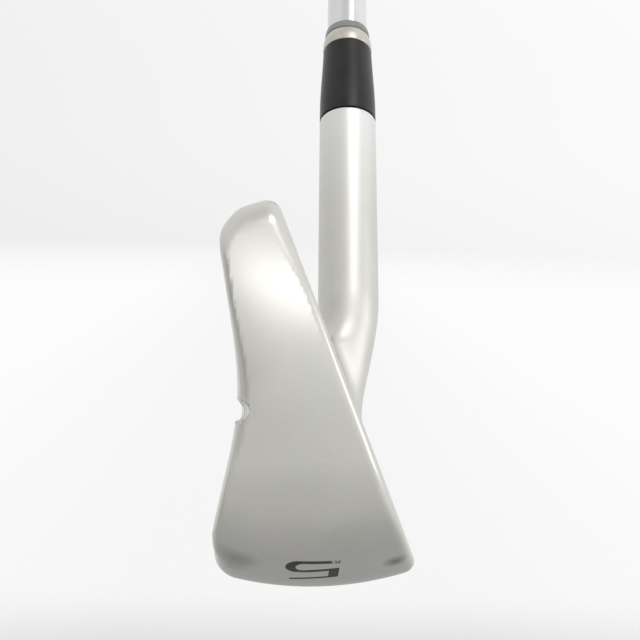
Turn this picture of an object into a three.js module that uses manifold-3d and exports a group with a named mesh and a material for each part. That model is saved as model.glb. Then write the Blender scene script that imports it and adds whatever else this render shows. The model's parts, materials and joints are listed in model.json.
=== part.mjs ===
// A right-handed 5-iron as it is assembled on a bench: forged head, ferrule, stepped steel shaft and grip.
// Millimetres. The club stands at address: +Z up, +X towards the toe, +Y towards the target.
// Every piece is drawn from the point where the shaft axis meets the ground, then the whole club is
// moved so that the origin is the centre of the strike face.
import * as THREE from 'three';
import { ParametricGeometry } from 'three/addons/geometries/ParametricGeometry.js';
import { mergeVertices } from 'three/addons/utils/BufferGeometryUtils.js';
import Module from 'manifold-3d';

const wasm = await Module();
wasm.setup();

const { clamp, degToRad, lerp, smoothstep } = THREE.MathUtils;

// ---- driving dimensions -------------------------------------------------------------------------
const LIE = degToRad(61);                // shaft axis above the ground
const LOFT = degToRad(22.6);             // face plane back from vertical
const CLUB_LENGTH = 965;                 // along the shaft axis, ground to butt cap

// Blade outline, seen from the front
const FACE_Y = 6.8;                      // face plane where it meets the ground
const TOE_X = 76.85;                     // furthest toe point
const TOE_Z = 21.5;                      // height of that point
const TOE_RADIUS = 77.8;
const TOE_CROWN = 75;                    // the toe end is crowned from the face to the back
const TOP_AT_HEEL = 30.8;                // topline, measured up the face plane, at x = 0
const TOP_SLOPE = 0.405;                 // topline rise towards the toe
const TOP_TOE_ROUND = 4.6;
const TOE_SOLE_ROUND = 20.2;
const SOLE_CENTRE_X = 28;
const SOLE_LONG_RADIUS = 330;            // heel-to-toe camber
const SOLE_CROSS_RADIUS = 45;            // front-to-back camber
const HEEL_EDGE = 6;                     // the blade ends this far behind the shaft axis
const HEEL_ROUND = 13;

// Back of the blade: a waist, flaring up to the topline and down to the sole
const BACK_AT_HEEL = 16.95;              // waist behind FACE_Y at x = 0
const BACK_SPREAD = 0.119;               // further back per mm towards the toe
const WAIST_Z = 30.4;
const WAIST_SOFT = 8;
const BACK_FLARE_UP = 0.277;
const BACK_FLARE_DOWN = 0.296;

// Sizes that change with height, as [height, size] stops
const FACE_EDGE = [[3, 1.9], [17, 1.25], [30, 1], [42, 0.85], [49, 1.7]];
const BACK_EDGE = [[7, 1.1], [18, 1.2], [30, 1.5], [42, 0.8], [46, 0.9], [51, 3.6]];
const TRAILING_BEVEL = [[8, 2.3], [20, -3.7]];   // below zero it has left the edge

// Hosel, stations are measured along the shaft axis from the ground
const HOSEL_TOP = 82.7;
const HOSEL_RADIUS = 6.4;
const HOSEL_RIM_ROUND = 0.6;
const HOSEL_FOOT = 7;                    // the hosel ends in a round foot at this station
const HOSEL_GROWTH = [[4, 1], [38, HOSEL_RADIUS]];   // [station, radius] stops
const HOSEL_BLEND = [[8, 1.5], [30, 9]];             // [station, reach of the blend] stops
const BORE_DEPTH = 33;
const FIT_GAP = 0.08;                    // radial clearance between concentric pieces
const END_GAP = 0.1;                     // axial clearance between stacked pieces
const LAID_GAP = 0.3;                    // clearance of a piece laid into a cut recess

// Ferrule: black collar, light trim ring, dark top ring
const COLLAR_LENGTH = 19.3;
const TRIM_LENGTH = 3.9;
const TOP_RING_LENGTH = 2;

// Shaft and grip
const SHAFT_TIP_RADIUS = 4.7;
const SHAFT_BUTT_RADIUS = 7.62;
const SHAFT_WALL = 0.6;
const FIRST_STEP = 230;
const STEP_PITCH = 38.1;
const STEP_COUNT = 13;
const EPOXY_THICKNESS = 0.2;
const GRIP_LENGTH = 268;
const GRIP_MOUTH_RADIUS = 8.9;
const GRIP_BUTT_RADIUS = 13.3;
const TAPE_THICKNESS = 0.2;
const CAP_THICKNESS = 4;
const CAP_PLUG_LENGTH = 6;
const VENT_RADIUS = 1.6;
const BAND = { from: 616, length: 26, thickness: 0.15 };
const TIP_WEIGHT_LENGTH = 15;

// Features cut into the head
const STRIKE = { x: 34, up: 23.4 };      // centre of the strike face, measured up the face plane
const SCORE = { count: 12, pitch: 3.6, first: 7.2, width: 0.9, depth: 0.5, heelX: 8, toeX: 60, margin: 4.5 };
const CAVITY_WALL = 2.9;                 // metal left between the face and the cavity
const CAVITY_CORNERS = [[15, 18.6], [67.5, 31.2], [62.5, 45], [17, 27.4]];
const CAVITY_ROUND = 2.4;
const POCKET_CORNERS = [[13, 6.5], [52, 6], [64, 13], [67.5, 31.2], [15, 18.6]];
const POCKET_WALL = 4.6;                 // metal left behind the undercut pocket, at the waist
const POCKET_LEAN = 0.214;               // that wall leans back towards the sole
const SCOOP = { x: 76, z: 29.25, slope: 0.24, inward: 0.17, radius: 1.06, depth: 1.5, length: 20 };
const BADGE = { margin: 1.4, pad: 0.5, plate: 0.9 };

// The iron number: its place on the sole, the edges of its strokes, and its depth
const NUMBER = { x: 69.8, y: -9.6, left: -3.1, right: 3.42, foot: -2.4, head: 3.1, headEnd: 2.85 };
const STROKE = { base: 0.74, bar: 0.6, stem: 1.22, rise: 0.16, outer: 1.57, inner: 0.87, waist: 1.2 };
const ENGRAVING = { depth: 0.75, fill: 0.3, inset: 0.12, above: 4 };

const SLIVER = 0.004;                    // cut edges shorter than this are merged
const AROUND = 32;                       // facets round the turned pieces

// ---- directions ---------------------------------------------------------------------------------
const shaftDir = new THREE.Vector3(-Math.cos(LIE), 0, Math.sin(LIE));
const faceNormal = new THREE.Vector3(0, Math.cos(LOFT), Math.sin(LOFT));
const faceUp = new THREE.Vector3(0, -Math.sin(LOFT), Math.cos(LOFT));

function facePoint(x, up, out = 0) {
  return new THREE.Vector3(x, FACE_Y, 0).addScaledVector(faceUp, up).addScaledVector(faceNormal, out);
}

// Local X runs to the heel, local Y up the face and local Z out of it.
function faceFrame(x, up, out) {
  const toHeel = new THREE.Vector3(-1, 0, 0);
  return new THREE.Matrix4().makeBasis(toHeel, faceUp, faceNormal).setPosition(facePoint(x, up, out));
}

// ---- solids -------------------------------------------------------------------------------------
function toSolid(geometry) {
  geometry.deleteAttribute('normal');
  geometry.deleteAttribute('uv');
  const merged = mergeVertices(geometry);
  const index = merged.index.array;
  const triangles = [];
  for (let i = 0; i < index.length; i += 3) {
    const [a, b, c] = [index[i], index[i + 1], index[i + 2]];
    if (a !== b && b !== c && c !== a) triangles.push(a, b, c);
  }
  const vertProperties = new Float32Array(merged.attributes.position.array);
  return new wasm.Manifold(new wasm.Mesh({ numProp: 3, vertProperties, triVerts: new Uint32Array(triangles) }));
}

function fromSolid(solid) {
  const { vertProperties, triVerts } = solid.getMesh();
  const geometry = new THREE.BufferGeometry();
  geometry.setAttribute('position', new THREE.BufferAttribute(vertProperties, 3));
  geometry.setIndex(new THREE.BufferAttribute(triVerts, 1));
  geometry.computeVertexNormals();
  return geometry;
}

// A closed profile of [radius, station] pairs, anticlockwise, turned about the local Z axis.
function turned(profile) {
  const points = [...profile, profile[0]].map(([radius, station]) => new THREE.Vector2(radius, station));
  return new THREE.LatheGeometry(points, AROUND).rotateX(Math.PI / 2);
}

function finish(color, roughness, metalness) {
  return new THREE.MeshStandardMaterial({ color, roughness, metalness });
}

function named(name, geometry, material) {
  const mesh = new THREE.Mesh(geometry, material);
  mesh.name = name;
  return mesh;
}

// ---- the outer form of the head: a field, negative inside and zero on the surface ---------------
function roundMax(a, b, radius) {
  const u = Math.max(a + radius, 0);
  const v = Math.max(b + radius, 0);
  return Math.hypot(u, v) + Math.min(Math.max(a, b) + radius, 0) - radius;
}

function smoothMin(a, b, reach) {
  const h = Math.max(reach - Math.abs(a - b), 0) / reach;
  return Math.min(a, b) - h * h * reach / 4;
}

// A smooth curve through [place, size] stops.
function through(stops, place) {
  let size = stops[0][1];
  for (let i = 1; i < stops.length; i += 1) {
    size += (stops[i][1] - stops[i - 1][1]) * smoothstep(place, stops[i - 1][0], stops[i][0]);
  }
  return size;
}

function backY(x, z) {
  const flare = z > WAIST_Z ? BACK_FLARE_UP : BACK_FLARE_DOWN;
  const waist = FACE_Y - BACK_AT_HEEL - BACK_SPREAD * x;
  return waist - flare * (Math.hypot(z - WAIST_Z, WAIST_SOFT) - WAIST_SOFT);
}

function soleZ(x, y) {
  const midSole = (FACE_Y - 3 + backY(x, 0)) / 2;
  return (x - SOLE_CENTRE_X) ** 2 / (2 * SOLE_LONG_RADIUS) + (y - midSole) ** 2 / (2 * SOLE_CROSS_RADIUS);
}

function bladeField(x, y, z) {
  const up = (FACE_Y - y) * Math.sin(LOFT) + z * Math.cos(LOFT);
  const face = (y - FACE_Y) * Math.cos(LOFT) + z * Math.sin(LOFT);
  const topline = (up - TOP_AT_HEEL - TOP_SLOPE * x) / Math.hypot(1, TOP_SLOPE);
  const midToe = (FACE_Y - z * Math.tan(LOFT) + backY(TOE_X, z)) / 2;
  const crown = (y - midToe) ** 2 / (2 * TOE_CROWN);
  const toe = Math.hypot(x - TOE_X + TOE_RADIUS, z - TOE_Z) - TOE_RADIUS + crown;
  const heel = -x * Math.sin(LIE) - z * Math.cos(LIE) - HEEL_EDGE;
  const topAndToe = roundMax(topline, toe, TOP_TOE_ROUND);
  const noHeel = roundMax(topAndToe, soleZ(x, y) - z, TOE_SOLE_ROUND);
  const rim = roundMax(noHeel, heel, HEEL_ROUND);
  const back = backY(x, z) - y;
  const trailing = (rim + back + through(TRAILING_BEVEL, z)) * Math.SQRT1_2;
  const beveled = roundMax(back, trailing, through(BACK_EDGE, z));
  const withBack = roundMax(rim, beveled, through(BACK_EDGE, z));
  return roundMax(withBack, face, through(FACE_EDGE, z));
}

function hoselField(x, y, z) {
  const station = x * shaftDir.x + z * shaftDir.z;
  const beyondFoot = Math.max(HOSEL_FOOT - station, 0);
  const across = Math.hypot(x * Math.sin(LIE) + z * Math.cos(LIE), y);
  const side = Math.hypot(across, beyondFoot) - through(HOSEL_GROWTH, station);
  return roundMax(side, station - HOSEL_TOP, HOSEL_RIM_ROUND);
}

function headField(x, y, z) {
  const reach = through(HOSEL_BLEND, x * shaftDir.x + z * shaftDir.z);
  return smoothMin(bladeField(x, y, z), hoselField(x, y, z), reach);
}

// ---- head skin: rings round a spine that runs from the toe to the heel and up the hosel ---------
// In the heel the ring planes fan about a pivot line that lies above the topline.
const FAN = { x: 6, z: 52, spineZ: 16, from: 0.5, to: 0.8 };
const TIP = { x: TOE_X - 0.12, z: TOE_Z + 4 };
const LONGEST_RAY = 45;
const BISECTIONS = 32;

function spineRing(t) {
  if (t <= FAN.from) {
    const x = TIP.x - (TIP.x - FAN.x) * (1 - Math.cos(t / FAN.from * Math.PI / 2));
    const z = lerp(TIP.z, FAN.spineZ, (TIP.x - x) / (TIP.x - FAN.x));
    const y = (FACE_Y - z * Math.tan(LOFT) + backY(x, z)) / 2;
    return { centre: new THREE.Vector3(x, y, z), up: new THREE.Vector3(0, 0, 1), tall: 2.2 };
  }
  const turn = clamp((t - FAN.from) / (FAN.to - FAN.from), 0, 1);
  const tilt = turn * LIE;
  const up = new THREE.Vector3(Math.sin(tilt), 0, Math.cos(tilt));
  const axisDistance = FAN.x * Math.sin(LIE) + FAN.z * Math.cos(LIE);
  const centre = new THREE.Vector3(FAN.x, 0, FAN.z)
    .addScaledVector(up, -lerp(FAN.z - FAN.spineZ, axisDistance, turn));
  const bladeY = (FACE_Y - FAN.spineZ * Math.tan(LOFT) + backY(FAN.x, FAN.spineZ)) / 2;
  centre.y = lerp(bladeY, 0, smoothstep(turn, 0, 1));
  if (t > FAN.to) {
    const climb = (t - FAN.to) / (1 - FAN.to);
    centre.addScaledVector(shaftDir, climb * (HOSEL_TOP - 0.01 - centre.dot(shaftDir)));
  }
  return { centre, up, tall: lerp(2.2, 1, turn) };
}

function skinPoint(t, turnFraction, target) {
  const { centre, up, tall } = spineRing(t);
  const angle = turnFraction * 2 * Math.PI;
  const ray = new THREE.Vector3(0, Math.cos(angle), 0).addScaledVector(up, tall * Math.sin(angle)).normalize();
  let inside = 0;
  let outside = LONGEST_RAY;
  for (let i = 0; i < BISECTIONS; i += 1) {
    const middle = (inside + outside) / 2;
    target.copy(centre).addScaledVector(ray, middle);
    if (headField(target.x, target.y, target.z) < 0) inside = middle;
    else outside = middle;
  }
}

function headSkin() {
  const rings = 46;
  const around = 44;
  const surface = (u, v, target) => {
    const ring = v * rings;
    if (ring < 0.5) target.copy(spineRing(0).centre);
    else if (ring > rings - 0.5) target.copy(spineRing(1).centre);
    else skinPoint((ring - 1) / (rings - 2), 1 - u % 1, target);
  };
  return toSolid(new ParametricGeometry(surface, around, rings));
}

// ---- head cutters -------------------------------------------------------------------------------
function boreCutter() {
  const mouth = HOSEL_TOP + 1;
  const radius = SHAFT_TIP_RADIUS + EPOXY_THICKNESS + 2 * FIT_GAP;
  const bottom = HOSEL_TOP - BORE_DEPTH;
  const bore = turned([[0, bottom], [radius, bottom], [radius, mouth], [0, mouth]]);
  return toSolid(bore.rotateY(LIE - Math.PI / 2));
}

function scoreCutters() {
  const cutters = [];
  for (let i = 0; i < SCORE.count; i += 1) {
    const up = SCORE.first + i * SCORE.pitch;
    const toplineX = (up + SCORE.margin - TOP_AT_HEEL) / TOP_SLOPE;
    const heelX = Math.max(SCORE.heelX, toplineX);
    const line = new THREE.BoxGeometry(SCORE.toeX - heelX, SCORE.width, 2 * SCORE.depth);
    cutters.push(toSolid(line.applyMatrix4(faceFrame((SCORE.toeX + heelX) / 2, up, 0))));
  }
  return cutters;
}

function roundedOutline(corners, inset, radius) {
  const centre = corners.reduce((sum, [x, z]) => sum.add(new THREE.Vector2(x, z)), new THREE.Vector2())
    .divideScalar(corners.length);
  const points = corners.map(([x, z]) => {
    const corner = new THREE.Vector2(x, z);
    return corner.addScaledVector(centre.clone().sub(corner).normalize(), 1.6 * inset);
  });
  const shape = new THREE.Shape();
  points.forEach((corner, i) => {
    const before = points.at(i - 1);
    const after = points[(i + 1) % points.length];
    const start = corner.clone().addScaledVector(before.clone().sub(corner).normalize(), radius);
    const end = corner.clone().addScaledVector(after.clone().sub(corner).normalize(), radius);
    if (i === 0) shape.moveTo(start.x, start.y);
    else shape.lineTo(start.x, start.y);
    shape.quadraticCurveTo(corner.x, corner.y, end.x, end.y);
  });
  shape.closePath();
  return shape;
}

// An outline in the X-Z plane, run straight back, between two depths behind the face.
function slabBehindFace(outline, nearDepth, farDepth) {
  const runBack = new THREE.ExtrudeGeometry(outline, { depth: 70, bevelEnabled: false, curveSegments: 4 });
  runBack.rotateX(Math.PI / 2).translate(0, 20, 0);
  const slab = new THREE.BoxGeometry(120, 160, farDepth - nearDepth);
  slab.applyMatrix4(faceFrame(STRIKE.x, STRIKE.up, -(nearDepth + farDepth) / 2));
  return toSolid(runBack).intersect(toSolid(slab));
}

function cavitySlab(inset, nearDepth, farDepth) {
  return slabBehindFace(roundedOutline(CAVITY_CORNERS, inset, CAVITY_ROUND), nearDepth, farDepth);
}

// The pocket undercuts the lower back: it lies between the face wall and a leaning rear wall.
function pocketCutter() {
  const reach = 60;
  const midX = 40;
  const forward = new THREE.Vector3(BACK_SPREAD, 1, -POCKET_LEAN).normalize();
  const wall = new THREE.BoxGeometry(200, 200, reach);
  wall.applyQuaternion(new THREE.Quaternion().setFromUnitVectors(new THREE.Vector3(0, 0, 1), forward));
  wall.translate(midX, backY(midX, WAIST_Z) + POCKET_WALL, WAIST_Z);
  wall.translate(forward.x * reach / 2, forward.y * reach / 2, forward.z * reach / 2);
  const outline = roundedOutline(POCKET_CORNERS, 0, CAVITY_ROUND);
  return slabBehindFace(outline, CAVITY_WALL, reach).intersect(toSolid(wall));
}

// A short round scoop in the back edge, deepest where it leaves through the toe.
function scoopCutter() {
  const along = new THREE.Vector3(1, SCOOP.inward, SCOOP.slope).normalize();
  const rod = new THREE.CylinderGeometry(SCOOP.radius, SCOOP.radius, SCOOP.length, 20);
  rod.applyQuaternion(new THREE.Quaternion().setFromUnitVectors(new THREE.Vector3(0, 1, 0), along));
  return toSolid(rod.translate(SCOOP.x, backY(SCOOP.x, WAIST_Z) - SCOOP.radius + SCOOP.depth, SCOOP.z));
}

// A 5 of the maker's own drawing: square stem, round bowl, and bars that rise to the right.
function numberShape(inset) {
  const left = NUMBER.left + inset;
  const stemRight = NUMBER.left + STROKE.stem - inset;
  const foot = NUMBER.foot + inset;
  const outer = STROKE.outer - inset;
  const inner = STROKE.inner + inset;
  const baseTop = NUMBER.foot + STROKE.base - inset;
  const bowlX = NUMBER.right - STROKE.outer;
  const bowlY = NUMBER.foot + STROKE.outer;
  const hollowX = NUMBER.right - STROKE.stem - STROKE.inner;
  const hollowY = NUMBER.foot + STROKE.base + STROKE.inner;
  const drop = STROKE.bar - 2 * inset;
  const waistX = bowlX - STROKE.waist;
  const middle = (x) => bowlY + outer + STROKE.rise * (x - waistX);
  const top = (x) => NUMBER.head - inset + STROKE.rise * x;
  const end = NUMBER.headEnd - inset;
  const shape = new THREE.Shape();
  shape.moveTo(end, top(end));
  shape.lineTo(left, top(left));
  shape.lineTo(left, middle(left) - drop);
  shape.absarc(hollowX, hollowY, inner, Math.PI / 2, -Math.PI / 2, true);
  shape.lineTo(left, baseTop);
  shape.lineTo(left, foot);
  shape.absarc(bowlX, bowlY, outer, -Math.PI / 2, Math.PI / 2, false);
  shape.lineTo(waistX, middle(waistX));
  shape.lineTo(stemRight, middle(stemRight));
  shape.lineTo(stemRight, top(stemRight) - drop);
  shape.lineTo(end, top(end) - drop);
  shape.closePath();
  return shape;
}

// Local Z leaves the skin at the number's place, local X runs to the back and local Y to the heel.
function numberFrame() {
  const at = new THREE.Vector3(NUMBER.x, NUMBER.y, 0);
  let low = -10;
  let high = TOE_Z;
  for (let i = 0; i < BISECTIONS; i += 1) {
    at.z = (low + high) / 2;
    if (headField(at.x, at.y, at.z) < 0) high = at.z;
    else low = at.z;
  }
  const step = 0.01;
  const here = headField(at.x, at.y, at.z);
  const normal = new THREE.Vector3(
    headField(at.x + step, at.y, at.z) - here,
    headField(at.x, at.y + step, at.z) - here,
    headField(at.x, at.y, at.z + step) - here,
  ).normalize();
  const right = new THREE.Vector3(0, -1, 0).projectOnPlane(normal).normalize();
  const up = new THREE.Vector3().crossVectors(normal, right);
  return new THREE.Matrix4().makeBasis(right, up, normal).setPosition(at);
}

function numberBlock(inset, bottom, top) {
  const block = new THREE.ExtrudeGeometry(numberShape(inset), {
    depth: top - bottom, bevelEnabled: false, curveSegments: 8,
  });
  return block.translate(0, 0, bottom).applyMatrix4(numberFrame());
}

// ---- pieces of the head -------------------------------------------------------------------------
function headBody() {
  let solid = headSkin();
  const cavity = cavitySlab(0, CAVITY_WALL, 60);
  const number = toSolid(numberBlock(0, -ENGRAVING.depth, ENGRAVING.above));
  for (const cutter of [boreCutter(), cavity, pocketCutter(), scoopCutter(), number, ...scoreCutters()]) {
    solid = solid.subtract(cutter).simplify(SLIVER);
  }
  return named('head_body', fromSolid(solid), finish(0xc4c4c1, 0.34, 1));
}

function numberFill() {
  const floor = -ENGRAVING.depth + END_GAP;
  const paint = numberBlock(ENGRAVING.inset, floor, floor + ENGRAVING.fill);
  return named('sole_number_fill', paint, finish(0x1b1b1b, 0.6, 0));
}

function badgePieces() {
  const padFloor = CAVITY_WALL + LAID_GAP;
  const plateFloor = padFloor + BADGE.pad + LAID_GAP;
  const pad = cavitySlab(BADGE.margin, padFloor, padFloor + BADGE.pad);
  const plate = cavitySlab(BADGE.margin, plateFloor, plateFloor + BADGE.plate);
  return [
    named('badge_adhesive', fromSolid(pad), finish(0xd9d6cc, 0.9, 0)),
    named('cavity_badge', fromSolid(plate), finish(0x2a2c2e, 0.4, 0.3)),
  ];
}

// ---- pieces turned about the shaft axis ---------------------------------------------------------
function sleeve(bottom, top, innerRadius, outerRadius) {
  return turned([[innerRadius, bottom], [outerRadius, bottom], [outerRadius, top], [innerRadius, top]]);
}

function shaftRadius(station) {
  const steps = clamp(Math.floor((station - FIRST_STEP) / STEP_PITCH) + 1, 0, STEP_COUNT);
  return lerp(SHAFT_TIP_RADIUS, SHAFT_BUTT_RADIUS, steps / STEP_COUNT);
}

function ferrule() {
  const bore = SHAFT_TIP_RADIUS + FIT_GAP;
  const collarFoot = HOSEL_TOP + END_GAP;
  const collarTop = HOSEL_TOP + COLLAR_LENGTH;
  const trimFoot = collarTop + END_GAP;
  const trimTop = collarTop + TRIM_LENGTH;
  const ringFoot = trimTop + END_GAP;
  const ringTop = trimTop + TOP_RING_LENGTH;
  const collar = turned([
    [bore, collarFoot], [HOSEL_RADIUS, collarFoot], [HOSEL_RADIUS - 0.02, collarFoot + 5],
    [HOSEL_RADIUS - 0.2, collarFoot + 12], [HOSEL_RADIUS - 0.5, collarTop - 0.4],
    [HOSEL_RADIUS - 0.7, collarTop], [bore, collarTop],
  ]);
  const trim = turned([
    [bore, trimFoot], [HOSEL_RADIUS - 0.65, trimFoot], [HOSEL_RADIUS - 0.7, trimFoot + 2],
    [HOSEL_RADIUS - 1.1, trimTop - 0.4], [HOSEL_RADIUS - 1.3, trimTop], [bore, trimTop],
  ]);
  const ring = turned([
    [bore, ringFoot], [HOSEL_RADIUS - 1.15, ringFoot], [HOSEL_RADIUS - 1.2, ringFoot + 1.2],
    [HOSEL_RADIUS - 1.4, ringTop], [bore, ringTop],
  ]);
  return [
    named('ferrule_collar', collar, finish(0x202020, 0.45, 0)),
    named('ferrule_trim_ring', trim, finish(0xdcd9ca, 0.35, 0.6)),
    named('ferrule_top_ring', ring, finish(0x2b2b2b, 0.45, 0)),
  ];
}

function shaftPieces() {
  const tip = HOSEL_TOP - BORE_DEPTH + 1;
  const butt = CLUB_LENGTH - CAP_THICKNESS - END_GAP;
  const outer = [[SHAFT_TIP_RADIUS, tip]];
  for (let i = 0; i < STEP_COUNT; i += 1) {
    const station = FIRST_STEP + i * STEP_PITCH;
    outer.push([shaftRadius(station - 1), station - 1.5], [shaftRadius(station + 1), station]);
  }
  outer.push([SHAFT_BUTT_RADIUS, butt]);
  const bore = [
    [SHAFT_BUTT_RADIUS - SHAFT_WALL, butt],
    [SHAFT_BUTT_RADIUS - SHAFT_WALL, FIRST_STEP + STEP_COUNT * STEP_PITCH],
    [SHAFT_TIP_RADIUS - SHAFT_WALL, FIRST_STEP - 20],
    [SHAFT_TIP_RADIUS - SHAFT_WALL, tip],
  ];
  const plugRadius = SHAFT_TIP_RADIUS - SHAFT_WALL - FIT_GAP;
  const plugTop = tip + TIP_WEIGHT_LENGTH;
  const plug = turned([[0, tip], [plugRadius, tip], [plugRadius, plugTop], [0, plugTop]]);
  const glueInner = SHAFT_TIP_RADIUS + FIT_GAP;
  const glue = sleeve(tip, HOSEL_TOP - END_GAP, glueInner, glueInner + EPOXY_THICKNESS);
  const bandInner = shaftRadius(BAND.from) + FIT_GAP;
  const band = sleeve(BAND.from, BAND.from + BAND.length, bandInner, bandInner + BAND.thickness);
  return [
    named('shaft', turned([...outer, ...bore]), finish(0xd8d9da, 0.16, 1)),
    named('tip_weight', plug, finish(0xb08d4a, 0.4, 1)),
    named('hosel_epoxy', glue, finish(0x8f8a72, 0.6, 0)),
    named('shaft_band', band, finish(0x33363a, 0.4, 0)),
  ];
}

function gripPieces() {
  const mouth = CLUB_LENGTH - GRIP_LENGTH;
  const sleeveTop = CLUB_LENGTH - CAP_THICKNESS - END_GAP;
  const tapeInner = SHAFT_BUTT_RADIUS + FIT_GAP;
  const gripInner = tapeInner + TAPE_THICKNESS + FIT_GAP;
  const tape = sleeve(mouth + 4, sleeveTop - 2, tapeInner, tapeInner + TAPE_THICKNESS);
  const rubber = turned([
    [gripInner, mouth], [GRIP_MOUTH_RADIUS - 0.5, mouth], [GRIP_MOUTH_RADIUS, mouth + 1.2],
    [9.4, mouth + 60], [10.2, mouth + 130], [11.2, mouth + 195], [12.0, mouth + 235],
    [GRIP_BUTT_RADIUS - 0.3, sleeveTop - 6], [GRIP_BUTT_RADIUS, sleeveTop], [gripInner, sleeveTop],
  ]);
  const plugRadius = SHAFT_BUTT_RADIUS - SHAFT_WALL - FIT_GAP;
  const cap = turned([
    [VENT_RADIUS, CLUB_LENGTH - CAP_THICKNESS - CAP_PLUG_LENGTH],
    [plugRadius, CLUB_LENGTH - CAP_THICKNESS - CAP_PLUG_LENGTH],
    [plugRadius, CLUB_LENGTH - CAP_THICKNESS],
    [GRIP_BUTT_RADIUS, CLUB_LENGTH - CAP_THICKNESS],
    [GRIP_BUTT_RADIUS, CLUB_LENGTH - 1.8],
    [GRIP_BUTT_RADIUS - 0.6, CLUB_LENGTH - 0.6],
    [GRIP_BUTT_RADIUS - 1.8, CLUB_LENGTH],
    [VENT_RADIUS, CLUB_LENGTH],
  ]);
  return [
    named('grip_tape', tape, finish(0xcfc8b4, 0.8, 0)),
    named('grip_sleeve', rubber, finish(0x1d1d1e, 0.85, 0)),
    named('grip_cap', cap, finish(0x242425, 0.7, 0)),
  ];
}

// ---- assembly -----------------------------------------------------------------------------------
const alongShaft = new THREE.Group();
alongShaft.rotation.y = LIE - Math.PI / 2;
alongShaft.add(...ferrule(), ...shaftPieces(), ...gripPieces());

const club = new THREE.Group();
club.add(headBody(), numberFill(), ...badgePieces(), alongShaft);
club.position.copy(facePoint(STRIKE.x, STRIKE.up)).negate();

export default club;
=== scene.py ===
"""Looks of a right-handed 5-iron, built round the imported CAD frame."""
import itertools
import json
import math

import bmesh
import bpy
import numpy as np
from mathutils import Matrix, Vector


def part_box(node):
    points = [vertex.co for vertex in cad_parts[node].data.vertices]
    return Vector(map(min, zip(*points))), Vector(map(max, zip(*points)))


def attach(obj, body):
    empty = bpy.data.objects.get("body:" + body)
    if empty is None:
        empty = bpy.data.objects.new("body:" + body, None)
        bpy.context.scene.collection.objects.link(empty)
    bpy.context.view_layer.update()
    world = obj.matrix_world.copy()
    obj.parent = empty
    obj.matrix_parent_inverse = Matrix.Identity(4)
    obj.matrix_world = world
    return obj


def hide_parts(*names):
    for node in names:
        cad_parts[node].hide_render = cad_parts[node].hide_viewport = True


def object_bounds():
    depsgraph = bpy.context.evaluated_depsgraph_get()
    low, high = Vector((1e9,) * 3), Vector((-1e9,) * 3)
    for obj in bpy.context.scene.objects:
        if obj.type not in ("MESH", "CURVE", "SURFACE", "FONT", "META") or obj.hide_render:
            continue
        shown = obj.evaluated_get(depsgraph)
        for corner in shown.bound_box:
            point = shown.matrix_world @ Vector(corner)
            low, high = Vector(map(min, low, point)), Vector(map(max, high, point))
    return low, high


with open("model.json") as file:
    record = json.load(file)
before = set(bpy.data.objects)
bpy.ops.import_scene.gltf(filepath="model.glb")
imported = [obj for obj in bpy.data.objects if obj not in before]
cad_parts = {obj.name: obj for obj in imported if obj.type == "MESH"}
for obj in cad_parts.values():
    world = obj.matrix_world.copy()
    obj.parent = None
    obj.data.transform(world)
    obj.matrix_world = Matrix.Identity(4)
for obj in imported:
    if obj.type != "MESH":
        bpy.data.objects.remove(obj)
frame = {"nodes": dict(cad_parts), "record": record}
cad_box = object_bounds()
mounts = {m["name"]: m for m in frame["record"]["mounts"]}

# ---- dimensions: millimetres from the point where the shaft axis meets the ground -----------------
MM = 0.001
FACE_NORMAL = np.array(mounts["strike_face"]["axis"])
SHAFT_DIR = np.array(mounts["butt_cap"]["axis"])
LOFT = math.asin(FACE_NORMAL[2])
LIE = math.asin(SHAFT_DIR[2])
FACE_UP = np.array([0, -math.sin(LOFT), math.cos(LOFT)])
ACROSS_SHAFT = np.array([math.sin(LIE), 0, math.cos(LIE)])

FACE_Y = 6.8
STRIKE_X, STRIKE_UP = 34, 23.4
ORIGIN = np.array([STRIKE_X, FACE_Y, 0]) + FACE_UP * STRIKE_UP
CLUB_LENGTH = 965

TOE_X, TOE_Z, TOE_RADIUS, TOE_CROWN = 76.85, 21.5, 77.8, 75
TOP_AT_HEEL, TOP_SLOPE, TOP_TOE_ROUND = 30.8, 0.405, 4.6
TOE_SOLE_ROUND = 20.2
SOLE_CENTRE_X, SOLE_LONG_RADIUS, SOLE_CROSS_RADIUS = 28, 330, 45
HEEL_EDGE, HEEL_ROUND = 6, 13
BACK_AT_HEEL, BACK_SPREAD = 16.95, 0.119
WAIST_Z, WAIST_SOFT = 30.4, 8
BACK_FLARE_UP, BACK_FLARE_DOWN = 0.277, 0.296
FACE_EDGE = [(3, 1.9), (17, 1.25), (30, 1.0), (42, 0.85), (49, 1.7)]
BACK_EDGE = [(7, 1.1), (18, 1.2), (30, 1.5), (42, 0.8), (46, 0.9), (51, 3.6)]
TRAILING_BEVEL = [(8, 2.3), (20, -3.7)]

HOSEL_TOP, HOSEL_RADIUS, HOSEL_RIM_ROUND, HOSEL_FOOT = 82.7, 6.4, 0.6, 7
HOSEL_GROWTH, HOSEL_BLEND = [(4, 1.0), (38, HOSEL_RADIUS)], [(8, 1.5), (30, 9)]
BORE_DEPTH, BORE_RADIUS = 33, 5.06

CAVITY_WALL, CAVITY_ROUND, CAVITY_FLOOR_ROUND, CAVITY_LIP = 2.9, 2.4, 0.9, 0.7
CAVITY_CORNERS = [(15, 18.6), (67.5, 31.2), (62.5, 45), (17, 27.4)]
POCKET_CORNERS = [(13, 6.5), (52, 6), (64, 13), (67.5, 31.2), (15, 18.6)]
POCKET_WALL, POCKET_LEAN, MID_X = 4.6, 0.214, 40
SCOOP = dict(x=76, z=29.25, slope=0.24, inward=0.17, radius=1.06, depth=1.5, lip=0.06)

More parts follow.
